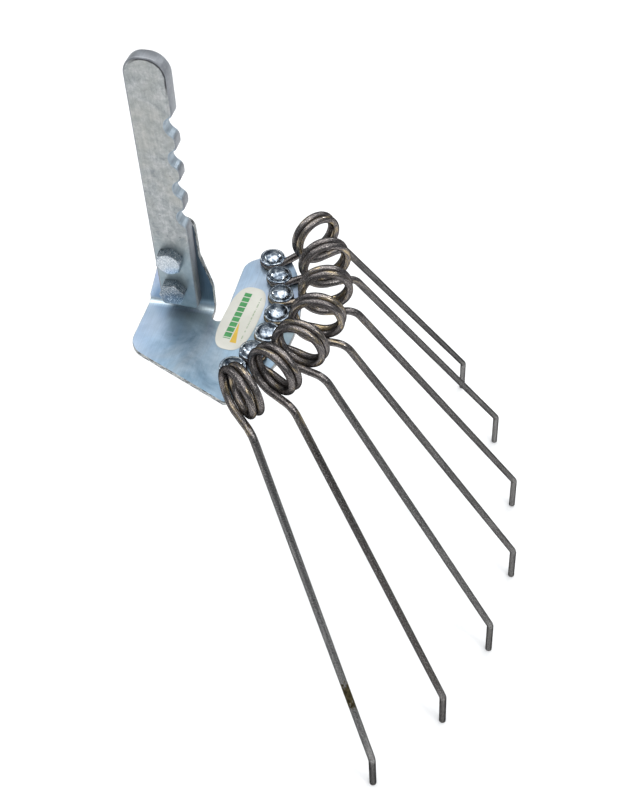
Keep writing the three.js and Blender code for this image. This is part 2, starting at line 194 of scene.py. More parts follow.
CAMERA = {
    "location": (0.47248, 0.20998, 0.32669),
    "azimuth": 100.813,
    "elevation": 49.504,
    "roll": 1.198,
    "lens": 41.10,
    "shift": (-0.01638, -0.02947),
}
ROOM_LIGHT = 2.5
ROOM = (
    (0.0, (0.06, 0.065, 0.07)),
    (0.45, (0.10, 0.11, 0.12)),
    (0.70, (0.17, 0.18, 0.19)),
    (0.87, (1.0, 1.0, 1.0)),
    (1.0, (1.0, 1.0, 1.0)),
)
LIGHT_TARGET = (0, 120, -80)
LIGHTS = {  # azimuth, elevation, distance, size, power
    "left": (-118, 40, 1.2, 0.16, 1.2),
    "right": (-18, 42, 1.2, 0.16, 1.2),
    "front": (150, 48, 1.2, 0.2, 1.6),
}


def direction(azimuth, elevation):
    """From the object towards a place at that azimuth and elevation, in degrees."""
    a, e = math.radians(azimuth), math.radians(elevation)
    return Vector((math.sin(a) * math.cos(e), -math.cos(a) * math.cos(e), math.sin(e)))


def add_object(name, data):
    made = bpy.data.objects.new(name, data)
    bpy.context.scene.collection.objects.link(made)
    return made


def add_camera():
    data = bpy.data.cameras.new("camera")
    data.sensor_width = 36
    data.lens = CAMERA["lens"]
    data.shift_x, data.shift_y = CAMERA["shift"]
    data.clip_start = 0.01
    camera = add_object("camera", data)
    azimuth = math.radians(CAMERA["azimuth"])
    right = Vector((math.cos(azimuth), math.sin(azimuth), 0))
    back = direction(CAMERA["azimuth"], CAMERA["elevation"])
    level = Matrix((right, back.cross(right), back)).transposed()
    turn = level @ Matrix.Rotation(math.radians(CAMERA["roll"]), 3, "Z")
    camera.matrix_world = Matrix.Translation(CAMERA["location"]) @ turn.to_4x4()
    bpy.context.scene.camera = camera


def add_light(name, azimuth, elevation, distance, size, power):
    """A soft round light that faces the object from that direction."""
    data = bpy.data.lights.new(name, "AREA")
    data.shape = "DISK"
    data.size = size
    data.energy = power
    light = add_object(name, data)
    away = direction(azimuth, elevation)
    light.location = row(*LIGHT_TARGET) + away * distance
    light.rotation_euler = away.to_track_quat("Z", "Y").to_euler()


def make_world():
    """Soft studio room: a bright ceiling over dark walls."""
    world = bpy.data.worlds.new("studio")
    bpy.context.scene.world = world
    world.use_nodes = True
    tree = world.node_tree
    background = tree.nodes["Background"]
    direction = tree.nodes.new("ShaderNodeTexCoord")
    split = tree.nodes.new("ShaderNodeSeparateXYZ")
    tree.links.new(direction.outputs["Generated"], split.inputs[0])
    ramp = tree.nodes.new("ShaderNodeValToRGB")
    tree.links.new(split.outputs[2], ramp.inputs[0])
    elements = ramp.color_ramp.elements
    while len(elements) < len(ROOM):
        elements.new(1)
    for element, (height, colour) in zip(elements, ROOM):
        element.position = height
        element.color = (*colour, 1)
    tree.links.new(ramp.outputs[0], background.inputs["Color"])
    background.inputs["Strength"].default_value = ROOM_LIGHT


def add_floor():
    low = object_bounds()[0].z
    mesh = bpy.data.meshes.new("floor")
    side = 12  # half the floor's width, in metres
    corners = [(-side, -side, low), (side, -side, low), (side, side, low), (-side, side, low)]
    mesh.from_pydata(corners, [], [(0, 1, 2, 3)])
    mesh.materials.append(floor_paint())
    add_object("floor", mesh)


# ---- materials ----


class Paint:
    """A node material in the making. Each call adds a node and gives its output socket."""

    def __init__(self, name, **sockets):
        self.material = bpy.data.materials.new(name)
        self.material.use_nodes = True
        self.tree = self.material.node_tree
        self.shader = self.tree.nodes["Principled BSDF"]
        self.end(**sockets)

    def node(self, kind, settings=(), **inputs):
        made = self.tree.nodes.new(f"ShaderNode{kind}")
        for key, value in dict(settings).items():
            setattr(made, key, value)
        for key, value in inputs.items():
            self.feed(made.inputs[int(key[1:]) if key[0] == "i" and key[1:].isdigit() else key], value)
        return made

    def feed(self, socket, value):
        if isinstance(value, bpy.types.NodeSocket):
            self.tree.links.new(value, socket)
        else:
            socket.default_value = value

    def end(self, **sockets):
        """Sets the shader's sockets and gives the material."""
        for name, value in sockets.items():
            self.feed(self.shader.inputs[name.replace("_", " ").title()], value)
        return self.material

    def place(self, source="object", scale=(1, 1, 1), shift=(0, 0, 0)):
        """Coordinates in metres times scale: in the row frame, or along the piece's own flow."""
        if source == "object":
            start = self.node("TexCoord").outputs["Object"]
        else:
            start = self.node("UVMap", {"uv_map": "flow"}).outputs["UV"]
        return self.node("VectorMath", {"operation": "MULTIPLY_ADD"}, i0=start, i1=scale, i2=shift).outputs[0]

    def noise(self, vector, scale=1, detail=3, roughness=0.55, distortion=0):
        return self.node(
            "TexNoise", i0=vector, Scale=scale, Detail=detail, Roughness=roughness, Distortion=distortion,
        ).outputs["Fac"]

    def cells(self, vector, scale):
        return self.node("TexVoronoi", Vector=vector, Scale=scale).outputs["Distance"]

    def ramp(self, value, *stops):
        """A colour or grey level for each position along the value."""
        made = self.node("ValToRGB", Fac=value)
        elements = made.color_ramp.elements
        while len(elements) < len(stops):
            elements.new(1)
        for element, (position, colour) in zip(elements, stops):
            element.position = position
            element.color = (*(colour if isinstance(colour, tuple) else (colour,) * 3), 1)
        return made.outputs["Color"]

    def mix(self, factor, a, b):
        made = self.node("Mix", {"data_type": "RGBA"})
        for index, value in ((0, factor), (6, a), (7, b)):
            self.feed(made.inputs[index], (*value, 1) if isinstance(value, tuple) else value)
        return made.outputs[2]

    def math(self, operation, a, b=0.0):
        return self.node("Math", {"operation": operation}, i0=a, i1=b).outputs[0]

    def plus(self, a, b):
        return self.math("ADD", a, b)

    def times(self, a, b):
        return self.math("MULTIPLY", a, b)

    def span(self, value, low, high, to_low=0.0, to_high=1.0):
        """The value taken from one range to another and held at its ends."""
        return self.node("MapRange", i0=value, i1=low, i2=high, i3=to_low, i4=to_high).outputs[0]

    def window(self, value, rise, fall):
        """1 between two fades and 0 beyond them."""
        return self.times(self.span(value, *rise), self.span(value, *fall))

    def parts(self, vector):
        return self.node("SeparateXYZ", i0=vector).outputs

    def bump(self, height, depth, strength):
        return self.node("Bump", Strength=strength, Distance=depth, Height=height).outputs[0]


def zinc_sheet():
    """Bright bluish zinc on rolled sheet: soft clouds, faint rolling lines, rainbow tint and dark pits."""
    p = Paint("zinc_sheet", Metallic=0.8)
    sheet = p.place("flow")
    clouds = p.noise(sheet, 34, 6, 0.7, 0.6)
    lines = p.noise(p.place("flow", (26, 900, 1)), 1, 4, 0.6)
    grain = p.noise(sheet, 1500, 3, 0.6)
    base = p.ramp(clouds, (0.36, (0.21, 0.30, 0.41)), (0.5, (0.35, 0.46, 0.60)), (0.62, (0.52, 0.64, 0.80)))
    tint = p.ramp(p.noise(sheet, 14, 3, 0.5, 1.2),
                  (0.38, (0.22, 0.42, 0.55)), (0.5, (0.42, 0.49, 0.48)), (0.62, (0.50, 0.46, 0.68)))
    across, sideways, _ = p.parts(sheet)
    beside_bend = p.window(across, *SHEET_ACROSS["beside_bend"])
    folded = p.span(sideways, *SHEET_SIDEWAYS["folded"])
    crease = p.times(p.window(across, *SHEET_ACROSS["crease"]), folded)
    lit_outer_side = p.span(sideways, *SHEET_SIDEWAYS["lit_outer_side"])
    shade_behind_bar = p.times(p.span(across, *SHEET_ACROSS["shade_behind_bar"]),
                         p.span(sideways, *SHEET_SIDEWAYS["shade_behind_bar"]))
    shade_behind_bar = p.times(shade_behind_bar, folded)
    arm = p.times(p.span(across, *SHEET_ACROSS["arm"]), p.math("SUBTRACT", 1.0, folded))
    base = p.mix(p.span(clouds, 0.3, 0.7, 0.2, 0.55), base, tint)
    # a greenish band along the foot of the bend: the chromate's own tint, drawn a little darker as painted
    # shade
    base = p.mix(p.times(beside_bend, 0.6), base, (0.34, 0.44, 0.44))
    # painted light: the sheet is drawn brighter and bluer towards its rear edge
    base = p.mix(p.times(lit_outer_side, 0.55), base, (0.58, 0.72, 0.95))
    # painted highlight: a pale, nearly white band on the tab's bend
    base = p.mix(p.times(crease, 0.8), base, (0.85, 0.97, 1.0))
    # painted shade: the tab beside the bar's front edge is drawn dark
    base = p.mix(p.times(shade_behind_bar, 0.85), base, (0.07, 0.11, 0.15))
    # painted light: the plate's arm is drawn brighter and bluer
    base = p.mix(p.times(arm, 0.45), base, (0.62, 0.76, 0.96))
    base = p.mix(p.span(lines, 0.35, 0.65, 0.2, 0), base, (0.20, 0.27, 0.34))
    pits = p.span(p.cells(sheet, 85), 0.045, 0.02)
    pits = p.times(pits, p.span(p.noise(sheet, 60, 2), 0.52, 0.56))
    base = p.mix(pits, base, (0.03, 0.03, 0.035))
    rough = p.span(p.plus(clouds, p.times(grain, 0.5)), 0.4, 1.1, 0.24, 0.40)
    rough = p.plus(rough, p.times(p.window(across, *SHEET_ACROSS["bend"]), 0.12))
    height = p.plus(p.times(lines, 0.5), p.times(grain, 0.4))
    height = p.math("SUBTRACT", height, pits)
    return p.end(Base_Color=base, Roughness=rough, Normal=p.bump(height, 0.00004, 0.6))


def zinc_edge():
    """Plated laser-cut edge: fine lines straight across the sheet's thickness."""
    p = Paint("zinc_edge", Metallic=0.9)
    edge = p.place("flow")
    cuts = p.noise(p.place("flow", (1700, 90, 1)), 1, 3, 0.6)
    patches = p.noise(edge, 90, 4, 0.6)
    base = p.ramp(patches, (0.3, (0.50, 0.52, 0.51)), (0.6, (0.68, 0.70, 0.69)), (0.8, (0.74, 0.72, 0.66)))
    base = p.mix(p.span(cuts, 0.38, 0.56, 0.75, 0), base, (0.14, 0.15, 0.16))
    scorch = p.noise(p.place("flow", (140, 900, 1)), 1, 4, 0.7)
    base = p.mix(p.span(scorch, 0.53, 0.43, 0, 0.95), base, (0.05, 0.055, 0.06))
    return p.end(Base_Color=base, Roughness=p.span(cuts, 0.3, 0.7, 0.35, 0.55),
                 Normal=p.bump(cuts, 0.00012, 0.7))


def bar_face():
    """Matt zinc over hot-rolled scale: mottled greenish grey with drag marks, specks and shallow pits,
    turning bluer and brighter round the bolts."""
    p = Paint("bar_face", Metallic=0.75)
    spot = p.place()
    mottle = p.noise(spot, 170, 6, 0.75, 0.4)
    blotch = p.noise(spot, 28, 4, 0.6, 0.8)
    drags = p.noise(p.place("object", (700, 700, 22)), 1, 4, 0.6)
    grain = p.noise(spot, 1300, 3, 0.6)
    base = p.ramp(mottle, (0.34, (0.27, 0.29, 0.30)), (0.5, (0.45, 0.47, 0.475)), (0.64, (0.64, 0.65, 0.65)))
    base = p.mix(p.span(blotch, 0.4, 0.62, 0, 0.45), base, (0.52, 0.51, 0.46))
    base = p.mix(p.span(drags, 0.35, 0.6, 0.3, 0), base, (0.26, 0.29, 0.30))
    _, y, z = p.parts(spot)
    # painted shadow: a dark broken line under the rolled edge of the bar's round top
    above = p.math("MAXIMUM", p.math("SUBTRACT", z, TOP_EDGE_SHADOW["z"]), 0.0)
    reach = p.math("SQRT", p.plus(p.times(p.times(y, y), TOP_EDGE_SHADOW["flatten"]), p.times(above, above)))
    wobble = p.times(p.math("SUBTRACT", p.noise(spot, 260, 3), 0.5), TOP_EDGE_SHADOW["wobble"])
    lip = p.times(p.span(p.plus(reach, wobble), *TOP_EDGE_SHADOW["edge"]), p.span(z, *TOP_EDGE_SHADOW["z_fade"]))
    lip = p.times(lip, p.span(y, *TOP_EDGE_SHADOW["y_fade"]))
    base = p.mix(p.times(lip, 0.95), base, (0.06, 0.06, 0.07))
    near_bolts = p.span(p.plus(z, p.times(mottle, 0.02)), *NEAR_BOLTS)
    base = p.mix(p.times(near_bolts, 0.6), base, (0.31, 0.42, 0.47))
    specks = p.span(p.cells(spot, 230), 0.16, 0.06)
    specks = p.times(specks, p.span(p.noise(spot, 75, 3), 0.56, 0.6))
    base = p.mix(p.times(specks, 0.8), base, (0.12, 0.11, 0.10))
    rough = p.math("SUBTRACT", p.span(mottle, 0.3, 0.8, 0.46, 0.62), p.times(near_bolts, 0.14))
    height = p.plus(p.times(mottle, 1.2), p.times(grain, 0.35))
    height = p.math("SUBTRACT", height, specks)
    return p.end(Base_Color=base, Roughness=rough, Normal=p.bump(height, 0.00012, 0.7))


def bar_edge():
    """The bar's cut edges: zinc over torch lines, purplish and a little darker as painted shade, and pale
    in the notches as painted light.
    """
    p = Paint("bar_edge", Metallic=0.8)
    edge = p.place("flow")
    cuts = p.noise(p.place("flow", (900, 60, 1)), 1, 4, 0.6)
    patches = p.noise(edge, 70, 5, 0.65, 0.5)
    # painted shade: the edges' zinc is drawn a little darker than the bar's face
    base = p.ramp(patches, (0.3, (0.22, 0.23, 0.25)), (0.55, (0.33, 0.345, 0.37)), (0.75, (0.44, 0.48, 0.52)))
    _, y, z = p.parts(p.place())
    notch_light = p.times(p.window(y, *NOTCH_LIGHT["y"]), p.span(z, *NOTCH_LIGHT["z"]))
    # painted light: the notches' faces are drawn paler and bluer
    base = p.mix(p.times(notch_light, 0.7), base, (0.46, 0.56, 0.64))
    base = p.mix(p.span(cuts, 0.3, 0.6, 0.4, 0), base, (0.22, 0.23, 0.25))
    return p.end(Base_Color=base, Roughness=p.span(patches, 0.3, 0.7, 0.38, 0.55),
                 Normal=p.bump(cuts, 0.00025, 0.7))


def spring_steel(number):
    """Oil-tempered spring wire: brown-black with drawing lines and pale specks, golden where the coil
    was rubbed, and greyer along the leg. One tine's leg has a rusty patch."""
    p = Paint(f"spring_steel_{number}", Metallic=0.9, Specular_Tint=(0.15, 0.15, 0.15, 1))
    along = p.parts(p.place("flow"))[0]
    lines = p.noise(p.place("flow", (14, 1100, 1), (number * 3.1, 0, 0)), 1, 5, 0.65)
    patches = p.noise(p.place("flow", (45, 160, 1), (number * 2.3, 0, 0)), 1, 5, 0.65, 0.6)
    grain = p.noise(p.place("flow", (1050, 1350, 1), (number * 1.1, 0, 0)), 1, 3, 0.8)
    leg = p.span(along, *LEG_START)
    coil = p.ramp(patches,
                  (0.35, (0.105, 0.095, 0.098)), (0.54, (0.21, 0.19, 0.19)), (0.65, (0.68, 0.53, 0.30)))
    grey = p.ramp(patches,
                  (0.3, (0.10, 0.098, 0.099)), (0.5, (0.17, 0.167, 0.168)), (0.7, (0.27, 0.262, 0.255)))
    grey = p.mix(LEG_STAIN[number], grey, (0.060, 0.048, 0.044))
    grey = p.mix(p.span(along, *PALE_TIP, 0, 0.6), grey, (0.36, 0.35, 0.34))
    base = p.mix(leg, coil, grey)
    base = p.mix(p.span(lines, 0.38, 0.55, 0.6, 0), base, (0.045, 0.042, 0.042))
    base = p.mix(p.span(grain, 0.50, 0.40, 0, 0.85), base, (0.030, 0.028, 0.028))
    pale = p.mix(leg, (0.58, 0.54, 0.50), (0.50, 0.50, 0.49))
    base = p.mix(p.span(grain, 0.53, 0.63, 0, 0.8), base, pale)
    # painted shade: the wire darkens towards its outline, where it turns away from view
    outline_shade = p.node("LayerWeight", Blend=0.5).outputs["Facing"]
    base = p.mix(p.span(outline_shade, 0.5, 0.9, 0, 0.8), base, (0.012, 0.011, 0.011))
    rough = p.span(p.plus(patches, lines), 0.8, 1.2, 0.38, 0.2)
    height = p.plus(p.times(lines, 0.5), p.times(grain, 0.9))
    if number == RUST["tine"]:
        wire = p.place("flow", shift=(number * 1.7, 0, 0))
        patch = p.times(p.window(along, *RUST["along"]), 0.8)
        rust = p.span(p.plus(p.times(p.noise(wire, 300, 5, 0.7), 2.0), patch), 1.45, 1.55)
        crust = p.ramp(p.noise(wire, 420, 4), (0.35, (0.030, 0.024, 0.014)), (0.65, (0.14, 0.115, 0.06)))
        base = p.mix(rust, base, crust)
        rough = p.math("MAXIMUM", rough, p.times(rust, 0.75))
        height = p.plus(height, p.times(rust, grain))
    return p.end(Base_Color=base, Roughness=rough, Normal=p.bump(height, 0.00006, 0.8))


def wire_end():
    """Sheared end of the wire: brighter, with shear lines."""
    p = Paint("wire_end", Metallic=0.9)
    spot = p.place()
    lines = p.noise(p.place("object", (400, 3000, 3000)), 1, 3, 0.6)
    base = p.ramp(lines, (0.3, (0.16, 0.15, 0.15)), (0.7, (0.34, 0.33, 0.32)))
    return p.end(Base_Color=base, Roughness=p.span(p.noise(spot, 900), 0.3, 0.7, 0.35, 0.5),
                 Normal=p.bump(lines, 0.0001, 0.6))


def hardware():
    """Bright zinc on cold-formed fasteners."""
    p = Paint("hardware", Metallic=1.0)
    spot = p.place()
    haze = p.noise(spot, 260, 4, 0.6, 0.5)
    grain = p.noise(spot, 2200, 2, 0.6)
    base = p.ramp(haze, (0.38, (0.06, 0.08, 0.11)), (0.5, (0.28, 0.33, 0.39)), (0.62, (0.64, 0.68, 0.70)))
    specks = p.span(p.cells(spot, 700), 0.14, 0.06)
    specks = p.times(specks, p.span(p.noise(spot, 260, 2), 0.55, 0.62))
    base = p.mix(specks, base, (0.10, 0.11, 0.13))
    return p.end(Base_Color=base, Roughness=p.span(haze, 0.3, 0.75, 0.08, 0.2),
                 Normal=p.bump(p.plus(haze, p.times(grain, 0.1)), 0.00035, 0.8))


def hex_zinc(name, shade):
    """Zinc on a hex bolt, with dark pits and bright specks. shade, from 0 to 1, is painted shade darkening what
    lies between.
    """
    p = Paint(f"hex_zinc_{name}", Metallic=0.9)
    spot = p.place()
    haze = p.noise(spot, 420, 5, 0.65, 0.4)
    pits = p.noise(spot, 1050, 4, 0.75)
    base = p.ramp(haze, (0.3, (0.36, 0.42, 0.48)), (0.5, (0.50, 0.55, 0.60)), (0.7, (0.64, 0.67, 0.71)))
    base = p.mix(p.span(pits, 0.46, 0.36, 0, 0.6), base, (0.12, 0.16, 0.20))
    base = p.mix(shade, base, (0.05, 0.09, 0.13))
    base = p.mix(p.span(pits, 0.53, 0.61, 0, 0.9), base, (0.80, 0.84, 0.86))
    return p.end(Base_Color=base, Roughness=p.span(haze, 0.3, 0.75, 0.24, 0.42),
                 Normal=p.bump(p.plus(haze, p.times(pits, 0.6)), 0.00014, 0.8))


def nylon():
    """Blue nylon of the locknuts' rings."""
    p = Paint("nylon", Metallic=0.0)
    spot = p.place()
    swirl = p.noise(spot, 700, 4)
    base = p.ramp(swirl, (0.3, (0.03, 0.10, 0.34)), (0.7, (0.06, 0.17, 0.46)))
    return p.end(Base_Color=base, Roughness=p.span(swirl, 0.3, 0.7, 0.38, 0.55),
                 Normal=p.bump(swirl, 0.00008, 0.4))


def label_film():
    """Sticker: warm white film with a row of green blocks, an ochre wedge and a broken line."""
    p = Paint("label_film", Metallic=0.0, Coat_Weight=0.15)
    flow = p.place("flow")
    u, v, _ = p.parts(flow)
    mottle = p.noise(flow, 300, 4, 0.6)
    fade = p.noise(flow, 40, 3)
    film = p.ramp(fade, (0.3, (0.54, 0.535, 0.475)), (0.7, (0.62, 0.615, 0.56)))
    green = p.ramp(p.noise(flow, 130, 4), (0.3, (0.035, 0.20, 0.06)), (0.7, (0.06, 0.30, 0.09)))
    ochre = p.ramp(p.noise(flow, 110, 4), (0.3, (0.52, 0.33, 0.03)), (0.7, (0.68, 0.45, 0.06)))

    soft = STICKER["soft"]

    def above(value, low):
        return p.span(value, low - soft, low + soft)

    def band(value, low, high):
        return p.times(above(value, low), p.span(value, high + soft, high - soft))

    stripe = p.times(band(u, *STICKER["stripe"][0]), band(v, *STICKER["stripe"][1]))
    stripe = p.times(stripe, p.span(p.math("PINGPONG", u, STICKER["block"] / 2), *STICKER["gap"]))
    (u0, u1), (v0, v1) = STICKER["wedge"]
    slope = p.span(u, u0, u1, v0, v1)
    wedge = p.times(band(u, u0, u1), above(p.math("SUBTRACT", slope, v), 0.0))
    wedge = p.times(wedge, above(v, v0))
    rule = p.times(band(u, *STICKER["rule"][0]), band(v, *STICKER["rule"][1]))
    rule = p.times(rule, p.span(p.noise(p.place("flow", (900, 60, 1)), 1, 1), 0.46, 0.50))
    base = p.mix(wedge, film, ochre)
    base = p.mix(stripe, base, green)
    base = p.mix(p.times(rule, 0.7), base, (0.20, 0.30, 0.16))
    base = p.mix(p.span(mottle, 0.62, 0.75, 0, 0.25), base, (0.45, 0.44, 0.38))
    return p.end(Base_Color=base, Roughness=p.span(mottle, 0.3, 0.7, 0.32, 0.5),
                 Normal=p.bump(mottle, 0.00002, 0.4))


def floor_paint():
    """Plain pale studio floor with a faint uneven tone."""
    p = Paint("floor", Metallic=0.0)
    spot = p.place()
    cloud = p.noise(spot, 1.5, 4)
    base = p.ramp(cloud, (0.3, 0.90), (0.7, 0.93))
    return p.end(Base_Color=base, Roughness=p.span(cloud, 0.3, 0.7, 0.75, 0.85))


# ---- mesh tools ----


class Shape:
    """Points, faces and what each face needs: its material index, its corners' flow coordinates, and
    the edges that stay sharp."""

    def __init__(self):
        self.points = []
        self.faces = []
        self.kinds = []
        self.flows = []
        self.sharp = set()

    def add(self, corners, kind, flow):
        self.faces.append(tuple(corners))
        self.kinds.append(kind)
        self.flows.append([tuple(f) for f in flow])

    def ring(self, points):
        first = len(self.points)
        self.points.extend(Vector(p) for p in points)
        return list(range(first, len(self.points)))

    def crease(self, ring):
        for a, b in zip(ring, ring[1:] + ring[:1]):
            self.sharp.add((min(a, b), max(a, b)))


def finish_piece(name, shape, matrix, materials, stands_for, body="root", angle=None):
    """Makes a Blender object of a shape and the CAD nodes it stands for, and puts it on its
    body if there is one. With angle, every edge that turns more than that many degrees stays sharp."""
    mesh = bpy.data.meshes.new(name)
    mesh.from_pydata([matrix @ p for p in shape.points], [], shape.faces)
    mesh.polygons.foreach_set("use_smooth", [True] * len(shape.faces))
    mesh.polygons.foreach_set("material_index", shape.kinds)
    flow = mesh.uv_layers.new(name="flow")
    flow.data.foreach_set("uv", [c * MM for corners in shape.flows for uv in corners for c in uv])
    if angle is not None:
        mesh.set_sharp_from_angle(angle=math.radians(angle))
    for edge in mesh.edges:
        if tuple(sorted(edge.vertices)) in shape.sharp:
            edge.use_edge_sharp = True
    for material in materials:
        mesh.materials.append(material)
    mesh.validate()
    piece = add_object(name, mesh)
    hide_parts(*stands_for)
    if body:
        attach(piece, body)
    return piece


def arc(centre, radius, start, end, step=7):
    """Points of an arc between two angles, both ends included."""
    count = max(2, math.ceil(abs(end - start) / step))
    angles = [math.radians(start + (end - start) * i / count) for i in range(count + 1)]
    return [Vector(centre) + radius * Vector((math.cos(a), math.sin(a))) for a in angles]


def round_corner(outline, corner, towards, radius):
    """Adds a rounded corner to an outline that goes on towards the next point."""
    corner = Vector(corner)
    back = (outline[-1] - corner).normalized()
    on = (Vector(towards) - corner).normalized()
    half = back.angle(on) / 2
    middle = corner + (back + on).normalized() * radius / math.sin(half)
    start = corner + back * radius / math.tan(half) - middle
    end = corner + on * radius / math.tan(half) - middle
    a0 = math.degrees(math.atan2(start.y, start.x))
    turn = math.degrees(start.angle_signed(end))
    outline.extend(arc(middle, radius, a0, a0 - turn))


def inside(point, loop):
    """True if a point lies in a closed loop."""
    hit = False
    for a, b in zip(loop, loop[1:] + loop[:1]):
        if (a.y > point.y) != (b.y > point.y):
            hit ^= point.x < (b.x - a.x) * (point.y - a.y) / (b.y - a.y) + a.x
    return hit


def inset(loop, distance):
    """The loop moved to its left, into the material."""
    moved = []
    for before, here, after in zip(loop[-1:] + loop[:-1], loop, loop[1:] + loop[:1]):
        a = (here - before).normalized()
        b = (after - here).normalized()
        normal = Vector((-a.y - b.y, a.x + b.x)).normalized()
        spread = max(0.5, normal.dot(Vector((-a.y, a.x))))  # keeps sharp corners from running away
        moved.append(here + normal * distance / spread)
    return moved


def slab(outline, holes, low, high, edge, seams=()):
    """A flat piece between two heights with rounded edges. The outline runs anticlockwise and the holes
    clockwise. Its faces are kind 0 and its edges kind 1. seams are pairs of outline points that the
    faces are also divided between."""
    shape = Shape()
    profile, rounds = [], 3
    for i in range(rounds + 1):
        turn = math.radians(90 * i / rounds)
        profile.append((edge * (1 - math.sin(turn)), low + edge * (1 - math.cos(turn))))
    profile += [(d, high + low - z) for d, z in reversed(profile)]
    caps = {0: [], len(profile) - 1: []}
    for loop in [outline, *holes]:
        lengths = [0]
        for a, b in zip(loop, loop[1:] + loop[:1]):
            lengths.append(lengths[-1] + (b - a).length)
        rings = []
        for level, (distance, z) in enumerate(profile):
            points = inset(loop, distance)
            rings.append(shape.ring((p.x, p.y, z) for p in points))
            if level in caps:
                caps[level].append((rings[-1], points))
                shape.crease(rings[-1])
        count = len(loop)
        for level in range(len(profile) - 1):
            heights = profile[level][1], profile[level + 1][1]
            for i in range(count):
                j = (i + 1) % count
                shape.add(
                    (rings[level][i], rings[level][j], rings[level + 1][j], rings[level + 1][i]), 1,
                    ((lengths[i], heights[0]), (lengths[i + 1], heights[0]),
                     (lengths[i + 1], heights[1]), (lengths[i], heights[1])),
                )
    for level, loops in caps.items():
        indices = [i for ring, _ in loops for i in ring]
        points = [p for _, loop in loops for p in loop]
        edges, first = [], 0
        for ring, _ in loops:
            edges += [(first + i, first + (i + 1) % len(ring)) for i in range(len(ring))]
            first += len(ring)
        edges += list(seams)
        _, _, faces, sources, _, _ = delaunay_2d_cdt(points, edges, [], 0, 1e-6)
        first_loop, cut_outs = loops[0][1], [loop for _, loop in loops[1:]]
        for face in faces:
            corners = [sources[i][0] for i in face]
            centre = sum((points[i] for i in corners), Vector((0, 0))) / len(corners)
            if not inside(centre, first_loop) or any(inside(centre, loop) for loop in cut_outs):
                continue
            if level == 0:
                corners = corners[::-1]
            shape.add([indices[i] for i in corners], 0, [points[i] for i in corners])
    return shape


def hex_radius(theta, across):
    return across / 2 / math.cos(theta % (math.pi / 3) - math.pi / 6)


def thread_radius(theta, height, radius, pitch):
    """Radius of a right-hand thread at a height above its tip, which is chamfered."""
    phase = (height / pitch - theta / (2 * math.pi)) % 1
    root = radius - THREAD_DEPTH * pitch
    depth = THREAD_DEPTH * pitch * min(1, max(0, 1.2 - 2.8 * abs(phase - 0.5)))  # with flat crests and roots
    return min(radius - depth, root + height)


def turned(rows, segments, closed=False):
    """A lathe shape from rows of (radius, height), from the outside of the bottom upwards, anticlockwise
    in section. A row may be a function of the angle. A row of radius 0 is a pole."""
    shape = Shape()
    rings, heights, along = [], [], 0
    around = 2 * math.pi * 10 / segments  # flow per segment, as at a radius of 10 mm
    for index, entry in enumerate(rows):
        at = entry if callable(entry) else (lambda theta, fixed=entry: fixed)
        if not callable(entry) and entry[0] == 0:
            rings.append(shape.ring([(0, 0, entry[1])]))
        else:
            turns = [2 * math.pi * i / segments for i in range(segments)]
            rings.append(shape.ring(
                (at(t)[0] * math.cos(t), at(t)[0] * math.sin(t), at(t)[1]) for t in turns
            ))
        if index:
            along += (Vector(at(0)) - Vector(before(0))).length
        heights.append(along)
        before = at
    pairs = list(zip(range(len(rows) - 1), range(1, len(rows))))
    if closed:
        pairs.append((len(rows) - 1, 0))
    for a, b in pairs:
        low, high = rings[a], rings[b]
        v0, v1 = heights[a], heights[b] if b else heights[a] + 1
        for i in range(segments):
            j = (i + 1) % segments
            u0, u1 = around * i, around * (i + 1)
            if len(low) == 1:
                shape.add((low[0], high[j], high[i]), 0, ((u0, v0), (u1, v1), (u0, v1)))
            elif len(high) == 1:
                shape.add((low[i], low[j], high[0]), 0, ((u0, v0), (u1, v0), (u0, v1)))
            else:
                shape.add((low[i], low[j], high[j], high[i]), 0, ((u0, v0), (u1, v0), (u1, v1), (u0, v1)))
    return shape


def tube(path, radius):
    """A round wire along a path, with chamfered ends."""
    sides, chamfer = WIRE_SIDES, 0.5
    shape = Shape()
    tangents = []
    for i in range(len(path)):
        tangents.append((path[min(i + 1, len(path) - 1)] - path[max(i - 1, 0)]).normalized())
    side = tangents[0].orthogonal().normalized()
    frames, length = [], 0
    for i, (point, tangent) in enumerate(zip(path, tangents)):
        if i:
            side = (side - tangent * side.dot(tangent)).normalized()
            length += (point - path[i - 1]).length
        frames.append((point, tangent, side.copy(), length))
    rings = []
    for i, (point, tangent, side, length) in enumerate(frames):
        other = tangent.cross(side)
        ends = {0: (1, chamfer), len(frames) - 1: (-1, -chamfer)}
        levels = [(0, radius, length)]
        if i in ends:
            sign, shift = ends[i]
            levels = [(0, radius - chamfer, length), (shift, radius, length + shift)][::sign]
        for shift, r, s in levels:
            turns = [2 * math.pi * k / sides for k in range(sides)]
            ring = shape.ring(
                point + tangent * shift + (side * math.cos(t) + other * math.sin(t)) * r for t in turns
            )
            rings.append((ring, s))
    around = 2 * math.pi * radius
    for (a, s0), (b, s1) in zip(rings, rings[1:]):
        for i in range(sides):
            j = (i + 1) % sides
            v0, v1 = around * i / sides, around * (i + 1) / sides
            shape.add((a[i], a[j], b[j], b[i]), 0, ((s0, v0), (s0, v1), (s1, v1), (s1, v0)))
    for ring, s in (rings[0], rings[-1]):
        corners = ring[::-1] if ring is rings[0][0] else ring
        shape.add(corners, 1, [(s, 0)] * sides)
        shape.crease(ring)
    shape.crease(rings[1][0])
    shape.crease(rings[-2][0])
    return shape


# ---- pieces ----


def up_tab(z):
    """Where a height on the tab lies across the flat sheet."""
    return PLATE["bend_radius"] - z - BEND_LENGTH


